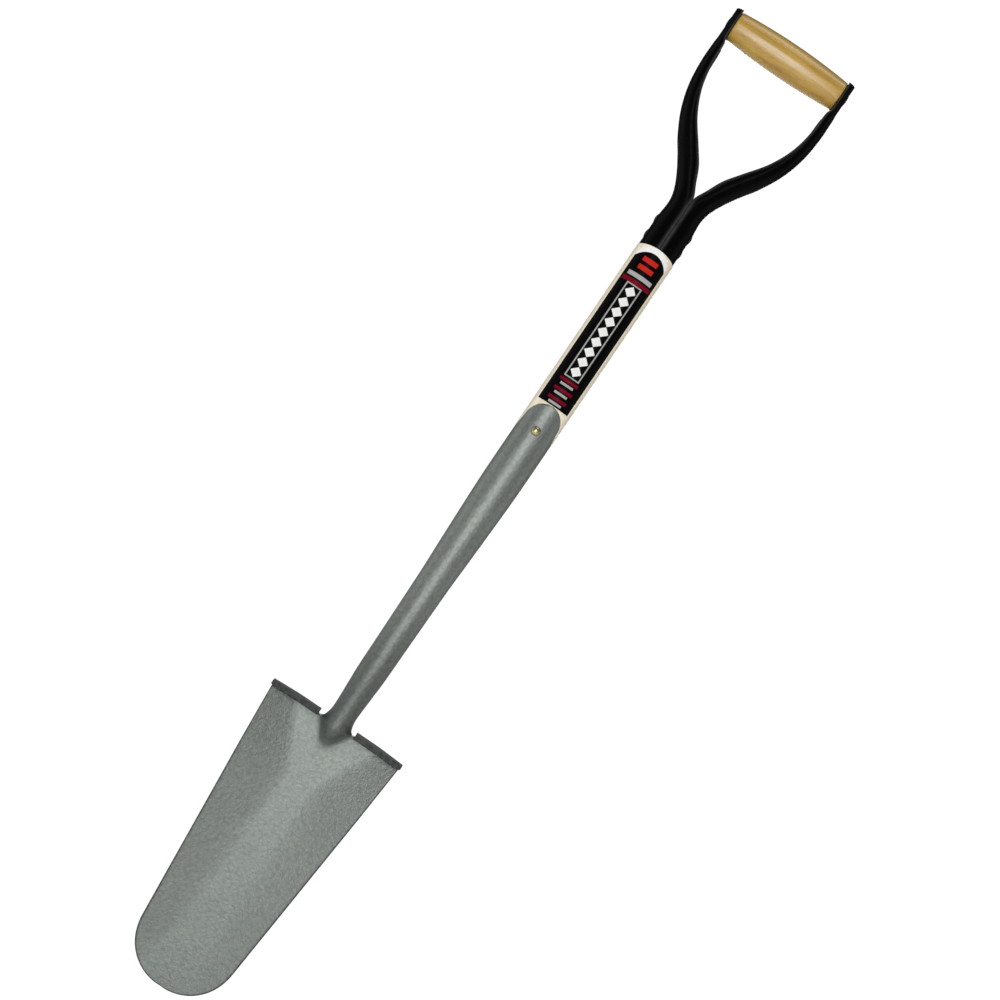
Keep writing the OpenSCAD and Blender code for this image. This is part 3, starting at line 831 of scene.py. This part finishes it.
def build_tread(side, material):
    """A strip of steel on the blade's top edge with rounded edges; side is 1 right, -1 left."""
    b = Builder()
    corner = 3.0
    edge_r = 0.7
    thick = TREAD_HIGH[2] - TREAD_LOW[2]
    xs = np.linspace(TREAD_INNER, TREAD_OUTER, 30)
    outline = [(x, float(back_y(min(x, BLADE_TOP_W / 2), BLADE_LEN))) for x in xs]
    outline = outline[::-1]
    outline += [(TREAD_INNER, -TREAD_FRONT)]
    front_end = TREAD_OUTER - corner
    outline += [(x, -TREAD_FRONT) for x in np.linspace(TREAD_INNER, front_end, 24)[1:]]
    for k in range(1, 9):
        a = math.pi / 2 * k / 8
        y = corner - TREAD_FRONT - corner * math.cos(a)
        outline.append((front_end + corner * math.sin(a), y))
    outline = np.array(outline)
    ahead = np.roll(outline, -1, axis=0) - outline
    behind = outline - np.roll(outline, 1, axis=0)
    ahead /= np.linalg.norm(ahead, axis=1, keepdims=True)
    behind /= np.linalg.norm(behind, axis=1, keepdims=True)
    way = ahead + behind
    way /= np.linalg.norm(way, axis=1, keepdims=True)
    into = np.stack([-way[:, 1], way[:, 0]], axis=1)
    if np.sum(into * (outline.mean(axis=0) - outline)) < 0:
        into = -into
    rows = []
    levels = []
    for k in range(5):
        a = math.pi / 2 * k / 4
        levels.append((edge_r * (1 - math.sin(a)), edge_r * (1 - math.cos(a))))
    levels += [(shift, thick - height) for shift, height in reversed(levels)]
    for shift, height in levels:
        x, y = (outline + into * shift).T
        z = np.full(len(x), BLADE_LEN + height)
        rows.append(b.add(np.stack([side * x, y, z], axis=1), 0.25))
    b.grid(rows, closed=True)
    for row in (rows[0], rows[-1]):
        inset = np.array([b.points[k] for k in row])
        centre = inset.mean(axis=0)
        ring = b.add(centre + (inset - centre) * 0.9)
        b.strip(row, ring, closed=True)
        b.cap(ring)
    name, node = f"{hand(side)}_foot_tread", f"{hand(side)}_tread"
    return b.make(name, material, [node], tread_painted_shade)


def build_weld(side, material):
    """Rippled weld bead under a tread, where it meets the blade's face; its dark colour is painted
    shade of the crease there.
    """
    b = Builder()
    ring_steps = 12
    xs = np.linspace(TREAD_INNER + 3, BLADE_TOP_W / 2 - 3, 150)
    rows = []
    for x in xs:
        y = float(front_y(np.array(x), np.array(BLADE_LEN - 1)))
        end = min(1, (x - xs[0]) / 2.0, (xs[-1] - x) / 2.0)
        ripple = math.sin(x * 4.1)
        bead = (1.7 + 0.2 * ripple + 0.14 * math.sin(x * 1.3)) * math.sqrt(max(0.02, end))
        ring = []
        for m in range(ring_steps):
            a = 2 * math.pi * m / ring_steps
            ring.append((side * x, y + bead * math.cos(a), BLADE_LEN - 0.8 + bead * math.sin(a)))
        rows.append(b.add(ring, 0.8 - 0.25 * ripple))
    b.grid(rows, closed=True)
    b.cap(rows[0])
    b.cap(rows[-1])
    return b.make(f"{hand(side)}_tread_weld", material)


# ---------------------------------------------------------------- shaft and label

def inward(builder, numbers, z):
    """Points of the builder moved in to the wood under the straps, at height z."""
    x, y, _ = np.array([builder.points[k] for k in numbers]).T
    share = (SHAFT_R - WOOD_DEPTH) / np.hypot(x, y)
    return np.stack([x * share, y * share, np.full(len(x), z)], axis=1)


def build_shaft(material):
    b = Builder()
    points, out = unwrapped_outline()
    count = len(points) // 2
    steps = (count - 1) // 2
    half_turn = math.pi * SOCKET_R
    surface = points + out * (WOOD_GAP + WOOD_EDGE)
    columns = np.linspace(0, 1, 61)
    upper = [STRAP_TOP + 1.5, STRAP_TOP + 3] + list(np.arange(STRAP_TOP + 8, COLLAR_Z - 4, 8.0))
    # The wood's edge along a strap: depth under the surface, and distance from the gap
    edge_profile = ((WOOD_DEPTH, 0.0), (WOOD_EDGE, 0.0), (WOOD_EDGE * 0.3, 0.3 * WOOD_EDGE))
    under_straps = []
    for side in (0, 1):
        # This side's wood lies between two straps; both edges are numbered from the notch up
        turn = 2 * half_turn if side == 1 else 0
        up_first = [side * count + count - 1 - k for k in range(steps + 1)]
        up_second = [(side * count + count + k) % len(points) for k in range(steps + 1)]
        first = surface[up_first]
        second = surface[up_second] + np.array([turn, 0.0])
        rims = []
        for picked, shift in ((up_first, 0), (up_second, turn)):
            rim = []
            for depth, far in edge_profile:
                base = points[picked] + out[picked] * (WOOD_GAP + far)
                rim.append((base[:, 0] + shift, base[:, 1], SHAFT_R - depth))
            rims.append(rim)
        rows = []
        for k in range(steps + 1):
            s = first[k, 0] + (second[k, 0] - first[k, 0]) * columns
            z = first[k, 1] + (second[k, 1] - first[k, 1]) * columns
            body = wrap(s, z, SHAFT_R)
            low = [wrap([e[0][k]], [e[1][k]], e[2])[0] for e in rims[0]]
            high = [wrap([e[0][k]], [e[1][k]], e[2])[0] for e in reversed(rims[1])]
            shade = [0.9, 0.8, 0.4] + [0.0] * len(columns) + [0.4, 0.8, 0.9]
            rows.append(b.add(np.array(low + list(body) + high), shade))
        b.grid(rows)
        middle = [row[3:-3] for row in rows]
        foot = b.add(inward(b, rows[0], float(first[0, 1]) - 0.6), 0.8)
        b.strip(rows[0], foot)
        under_straps += [row[0] for row in rows[::-1]] + list(foot) + [row[-1] for row in rows]
        s = np.array([side * half_turn + half_turn * c for c in columns])
        plain = [middle[-1]]
        for z in upper:
            plain.append(b.add(wrap(s, z, SHAFT_R)))
        shoulder = 0.6
        collar = COLLAR_Z + rim_arch(SHAFT_R * np.sin(s / SOCKET_R))
        for m in range(5):
            a = math.pi / 2 * m / 4
            z = collar - shoulder + shoulder * math.sin(a)
            plain.append(b.add(wrap(s, z, SHAFT_R - shoulder + shoulder * math.cos(a)), 0.25))
        for z, radius in ((collar, TENON_R), (TENON_NECK_Z, TENON_R), (TENON_TOP, TENON_END_R)):
            plain.append(b.add(wrap(s, z, radius)))
        b.grid(plain)
        b.fan(plain[-1], b.add([(0, 0, TENON_TOP)])[0], closed=False)
    # The end inside the socket
    end = b.add(inward(b, under_straps, WOOD_END_Z))
    b.strip(under_straps, end, closed=True)
    b.cap(end)
    return b.make("ash_shaft", material, ["shaft"])


def build_label(material):
    """The sticker, closed: its printed side, its side against the wood, and the edge between."""
    b = Builder()
    across = np.sin(np.linspace(-1, 1, 57) * math.asin(LABEL_HALF_W / SHAFT_R)) * SHAFT_R
    top = LABEL_HIGH[2] - (LABEL_ARCH_R - np.sqrt(LABEL_ARCH_R ** 2 - across ** 2))
    bottom = LABEL_LOW[2]
    borders = []
    for radius in (SHAFT_R + LABEL_T, SHAFT_R):
        rows = []
        for t in np.linspace(0, 1, 60):
            x = across * radius / (SHAFT_R + LABEL_T)
            points = [x, -np.sqrt(radius ** 2 - x ** 2), bottom + (top - bottom) * t]
            rows.append(b.add(np.stack(points, axis=1)))
        b.grid(rows)
        right, left = [row[-1] for row in rows[1:]], [row[0] for row in rows[-2:0:-1]]
        borders.append(list(rows[0]) + right + list(rows[-1][-2::-1]) + left)
    b.strip(*borders, closed=True)
    return b.make("shaft_label", material, ["label"])


# ---------------------------------------------------------------- handle

def arm_size(column, rise):
    """One of the arm's sizes at a height over the collar's foot; column says which one."""
    return float(smooth_curve(ARM_KNOTS[:, 0], ARM_KNOTS[:, column], rise / GRIP_RISE))


def arm_outer(rise):
    return COLLAR_R + (ARM_X - COLLAR_R) * arm_size(1, rise)


def channel(rise, shrink):
    """A level section of one half of the yoke with rounded lips; shrink thins it all round."""
    xo = arm_outer(rise)
    depth = arm_size(2, rise)
    depth = min(depth, xo)
    half = arm_size(3, rise)
    over = rise - GRIP_RISE
    if over > 0:
        half = min(half, math.sqrt(ARM_END_R ** 2 - over ** 2))
    curl = math.radians(arm_size(4, rise))
    lean = (arm_outer(rise + 1) - arm_outer(rise - 1)) / 2
    wall = YOKE_T * math.sqrt(1 + lean * lean)
    lip = wall / 2

    def arc(x_out, deep, wide):
        size = deep / (1 - math.cos(curl))
        stop = math.acos(1 - (deep - lip) / size)
        return [
            (x_out - size * (1 - math.cos(a)), wide * math.sin(a))
            for a in np.linspace(-stop, stop, ARM_ARC_STEPS + 1)
        ]

    outer = arc(xo - shrink, depth - shrink, half - shrink)
    inner_half = max(0.4, half - YOKE_T + shrink)
    inner = arc(xo - wall + shrink, depth - wall + shrink, inner_half)[::-1]

    def lip_round(a, c):
        a, c = np.array(a), np.array(c)
        middle, arm = (a + c) / 2, (a - c) / 2
        reach = min(lip, float(middle[0] - (xo - depth)))
        return [
            tuple(middle + arm * math.cos(p) + np.array([-reach * math.sin(p), 0.0]))
            for p in (math.pi * m / ARM_LIP_STEPS for m in range(1, ARM_LIP_STEPS))
        ]

    section = outer + lip_round(outer[-1], inner[0]) + inner + lip_round(inner[-1], outer[0])
    # Weights for the enamel's lighter lips: worn paint, and a painted highlight along the seam and
    # arms
    outside = [0.9, 0.3] + [0.0] * (len(outer) - 4) + [0.3, 0.9]
    lip_wear_and_highlight = [1.0] * (ARM_LIP_STEPS - 1)
    worn = outside + lip_wear_and_highlight + [0.0] * len(inner) + lip_wear_and_highlight
    return section, worn


def build_yoke_half(side, material):
    b = Builder()
    edge = 0.7
    rises = [(0.0, edge), (edge * 0.3, edge * 0.3), (edge, 0.0)]
    rises += [(r, 0.0) for r in np.arange(4, 30, 5.0)]
    rises += [(r, 0.0) for r in np.arange(31, 0.88 * GRIP_RISE, 1.4)]
    rises += [(r, 0.0) for r in np.arange(0.885, 0.935, 0.006) * GRIP_RISE]
    rises += [(r, 0.0) for r in np.linspace(0.95 * GRIP_RISE, GRIP_RISE + 6, 8)]
    overs = [8, 9.5, 11, 12.2, 13.2, 14, 14.5]
    rises += [(GRIP_RISE + r, 0.0) for r in overs]
    rises += [(ARM_TOP_RISE - 0.45, 0.15), (ARM_TOP_RISE - 0.15, 0.4), (ARM_TOP_RISE, 0.8)]
    rows = []
    for rise, shrink in rises:
        section, worn = channel(rise, shrink)
        lift = max(0.0, 1 - rise / 28)
        points = []
        for x, y in section:
            arch = lift * float(rim_arch(min(x, COLLAR_R)))
            points.append((side * x, y, COLLAR_Z + rise + arch))
        rows.append(b.add(points, worn))
    b.grid(rows, closed=True)
    n = len(rows[0])
    outer_n, lip_n = ARM_ARC_STEPS + 1, ARM_LIP_STEPS - 1
    for row in (rows[0], rows[-1]):
        outer = list(row[:outer_n])
        inner = list(row[outer_n + lip_n:2 * outer_n + lip_n])[::-1]
        b.strip(outer, inner)
        b.cap([outer[-1], *row[outer_n:outer_n + lip_n], inner[-1]])
        b.cap([inner[0], *row[n - lip_n:], outer[0]])
    name, node = f"{hand(side)}_yoke_pressing", f"{hand(side)}_yoke_half"
    return b.make(name, material, [node])


def dome_profile(seat, height, radius, skirt):
    """Half of a rivet's outline from under its head out to its crown, as (along, radius)."""
    sphere = (radius ** 2 + height ** 2) / (2 * height)
    profile = [(seat - skirt, radius * 0.96), (seat + 0.15 * height, radius)]
    crown = math.asin(radius * 0.93 / sphere)
    for k in range(10):
        a = crown * (1 - k / 10)
        profile.append((seat + height - sphere * (1 - math.cos(a)), sphere * math.sin(a)))
    profile.append((seat + height, 0.05))
    return profile


def build_rivet(name, node, material, seat, height, radius, skirt, place):
    """Both heads of a rivet and the shank between them."""
    b = Builder()
    top = dome_profile(seat, height, radius, skirt)
    profile = [(-a, r) for a, r in reversed(top)] + [(-(seat - skirt), radius * 0.55)]
    profile += [(seat - skirt, radius * 0.55)] + top
    edge = [1.0 if r > radius * 0.9 or abs(a) <= seat - skirt else 0.0 for a, r in profile]
    turned(b, profile, place, 48, edge)
    return b.make(name, material, [node])


def build_grip(material):
    """The grip, from one end's rounding over its barrel to the other, as (along, radius, wear)."""
    b = Builder()
    bevel = 1.0
    end = [(GRIP_HALF, GRIP_BORE_R, 1.0)]
    for k in range(6):
        a = math.pi / 2 * k / 5
        along = GRIP_HALF - bevel * (1 - math.cos(a))
        end.append((along, GRIP_END_R - bevel + bevel * math.sin(a), 0.9 - 0.15 * k))
    outline = [(-along, radius, worn) for along, radius, worn in end]
    for s in np.linspace(-0.96, 0.96, 61):
        radius = GRIP_R - (GRIP_R - GRIP_END_R) * s * s
        outline.append((s * GRIP_HALF, radius, max(0.0, abs(s) - 0.93) * 2))
    outline += end[::-1]
    profile = [(along, radius) for along, radius, _ in outline]
    edge = [worn for _, _, worn in outline]
    turned(b, profile, lambda along, v, w: (along, v, GRIP_Z + w), 128, edge, bored=True)
    return b.make("turned_grip", material, ["grip"])


# ---------------------------------------------------------------- assembly

paint = hammered_paint()
enamel = black_enamel()
brass = rivet_metal(
    "rivet_brass", 900.0, (0.42, 0.33, 0.14), (0.80, 0.68, 0.40), (0.05, 0.042, 0.02),
    mark_depth=0.00025, strength=0.6, roughness=0.28,
)
steel = rivet_metal(
    "rivet_steel", 1100.0, (0.30, 0.30, 0.30), (0.50, 0.50, 0.49), (0.04, 0.04, 0.04),
    mark_depth=0.00015, strength=0.5, roughness=0.34,
)

build_head(paint)
for side in (-1, 1):
    build_tread(side, paint)
    build_weld(side, paint)
build_shaft(ash_wood())
build_label(label_print())
for side in (-1, 1):
    build_yoke_half(side, enamel)
build_grip(varnished_wood())

rivet_z = (SOCKET_RIVET_LOW[2] + SOCKET_RIVET_HIGH[2]) / 2
build_rivet(
    "socket_cross_rivet", "socket_rivet", brass, SOCKET_R,
    SOCKET_RIVET_HIGH[1] - SOCKET_R, (SOCKET_RIVET_HIGH[0] - SOCKET_RIVET_LOW[0]) / 2, 0.7,
    lambda along, v, w: (v, along, rivet_z + w),
)
for level in ("lower", "upper"):
    low, high = box_mm(f"{level}_yoke_rivet")
    middle = (low[2] + high[2]) / 2
    build_rivet(
        f"{level}_collar_rivet", f"{level}_yoke_rivet", enamel, COLLAR_R,
        high[0] - COLLAR_R, (high[1] - low[1]) / 2, 0.9,
        lambda along, v, w, middle=middle: (along, v, middle + w),
    )
arm_face = COLLAR_R + (ARM_X - COLLAR_R) * ARM_KNOTS[-1, 1]
build_rivet(
    "grip_through_rivet", "grip_rivet", steel, arm_face,
    GRIP_RIVET_HIGH[0] - arm_face, (GRIP_RIVET_HIGH[1] - GRIP_RIVET_LOW[1]) / 2, 0.6,
    lambda along, v, w: (along, v, GRIP_Z + w),
)


# ---------------------------------------------------------------- stage, light and camera

def make_floor():
    """A floor under the tip: plain white to the camera, an ordinary pale surface to all else."""
    mesh = bpy.data.meshes.new("floor")
    reach = 8.0
    corners = [(-reach, -reach, 0), (reach, -reach, 0), (reach, reach, 0), (-reach, reach, 0)]
    mesh.from_pydata(corners, [], [(0, 1, 2, 3)])
    floor = bpy.data.objects.new("floor", mesh)
    floor.location.z = cad_low.z - 0.002
    bpy.context.scene.collection.objects.link(floor)
    material = bpy.data.materials.new("floor_white")
    material.use_nodes = True
    s = Shader(material.node_tree)
    material.node_tree.nodes.clear()
    seen = s.node("ShaderNodeLightPath").outputs["Is Camera Ray"]
    pale = s.node("ShaderNodeBsdfDiffuse", {"Color": (0.88, 0.88, 0.88, 1)})
    white = s.node("ShaderNodeEmission", {"Color": (1, 1, 1, 1), "Strength": 1.05})
    mixed = s.node("ShaderNodeMixShader", {0: seen, 1: pale.outputs[0], 2: white.outputs[0]})
    s.node("ShaderNodeOutputMaterial", {"Surface": mixed.outputs[0]})
    mesh.materials.append(material)


def make_world():
    """White to the camera; soft light for diffuse surfaces; dark in reflections."""
    world = bpy.data.worlds.new("studio")
    bpy.context.scene.world = world
    world.use_nodes = True
    s = Shader(world.node_tree)
    world.node_tree.nodes.clear()
    rays = s.node("ShaderNodeLightPath").outputs
    diffuse = s.math("MULTIPLY", rays["Is Diffuse Ray"], 0.36)
    glossy = s.math("MULTIPLY", rays["Is Glossy Ray"], 0.08)
    camera = s.math("MULTIPLY", rays["Is Camera Ray"], 1.05)
    strength = s.math("ADD", camera, s.math("ADD", diffuse, glossy))
    back = s.node("ShaderNodeBackground", {"Color": (1, 1, 1, 1), "Strength": strength})
    s.node("ShaderNodeOutputWorld", {"Surface": back.outputs[0]})


def make_light(name, place, target, size, power):
    light = bpy.data.lights.new(name, "AREA")
    light.shape = "RECTANGLE"
    light.size, light.size_y = size
    light.energy = power
    lamp = bpy.data.objects.new(name, light)
    lamp.location = place
    lamp.rotation_euler = (Vector(target) - Vector(place)).to_track_quat("-Z", "Y").to_euler()
    lamp.visible_camera = False
    bpy.context.scene.collection.objects.link(lamp)


centre = (cad_low + cad_high) / 2
make_floor()
make_world()
make_light("front_key", (-0.12, -2.3, 0.75), centre, (0.85, 1.7), 27)
make_light("back_key", (0.08, 2.3, 0.88), centre, (0.85, 1.7), 24)
make_light("left_fill", (-2.3, 0.2, 1.0), centre, (1.7, 1.9), 9)
make_light("right_fill", (2.3, 0.2, 1.0), centre, (1.7, 1.9), 6)
make_light("top_fill", (0, -0.4, 2.9), centre, (1.0, 1.0), 6)


def make_camera():
    """The camera looks level along +Y and is rolled, so that the handle leans to the right."""
    distance = 1.45
    frame_width = 0.9
    aim = Vector((0.0080, 0.0, 0.5296))
    roll = math.radians(34.17)
    data = bpy.data.cameras.new("camera")
    data.sensor_width = 36
    data.lens = data.sensor_width * distance / frame_width
    camera = bpy.data.objects.new("camera", data)
    right = Vector((math.cos(roll), 0, math.sin(roll)))
    up = Vector((-math.sin(roll), 0, math.cos(roll)))
    back = Vector((0, -1, 0))
    turn = Matrix((right, up, back)).transposed().to_4x4()
    camera.matrix_world = Matrix.Translation(aim + back * distance) @ turn
    bpy.context.scene.collection.objects.link(camera)
    bpy.context.scene.camera = camera


make_camera()
bpy.context.scene.view_settings.view_transform = "Standard"
